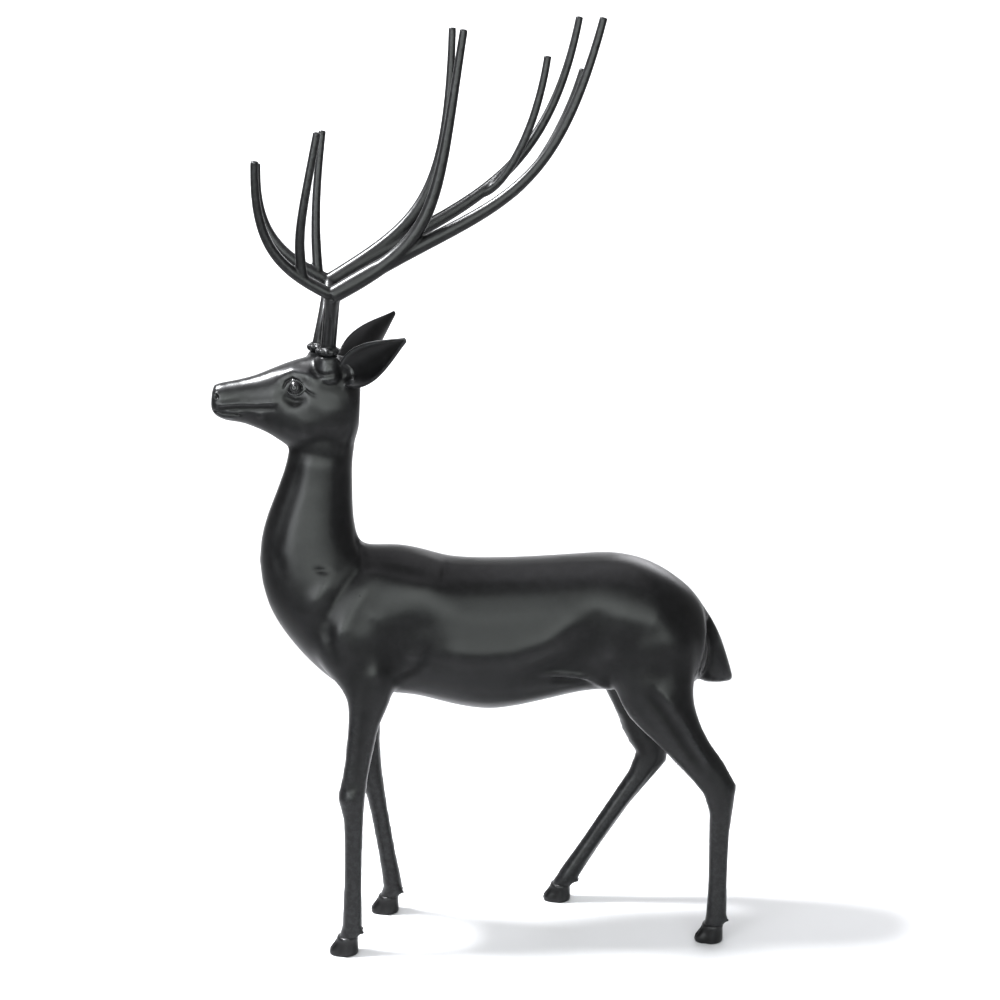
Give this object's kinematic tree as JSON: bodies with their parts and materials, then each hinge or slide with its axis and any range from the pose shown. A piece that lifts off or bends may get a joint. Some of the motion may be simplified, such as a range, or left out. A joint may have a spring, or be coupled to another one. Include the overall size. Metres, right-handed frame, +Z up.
{
  "type": "stag sculpture",
  "caption": "Free-standing stag cast in metal with a black finish, walking pose, head level, branched antlers; stands on its hooves as a garden or hall ornament.",
  "frame": {"origin": "on the ground, below the middle of the figure's bounding box", "axes": "+Z up; the stag looks along -X; its left side, the one that the picture shows, faces -Y"},
  "size_m": [0.9022, 0.2628, 1.6016],
  "materials": {
    "black_finish": "satin"
  },
  "bodies": {
    "root": {"stag_body": "black_finish", "antler_left": "black_finish", "antler_right": "black_finish"}
  },
  "joints": []
}
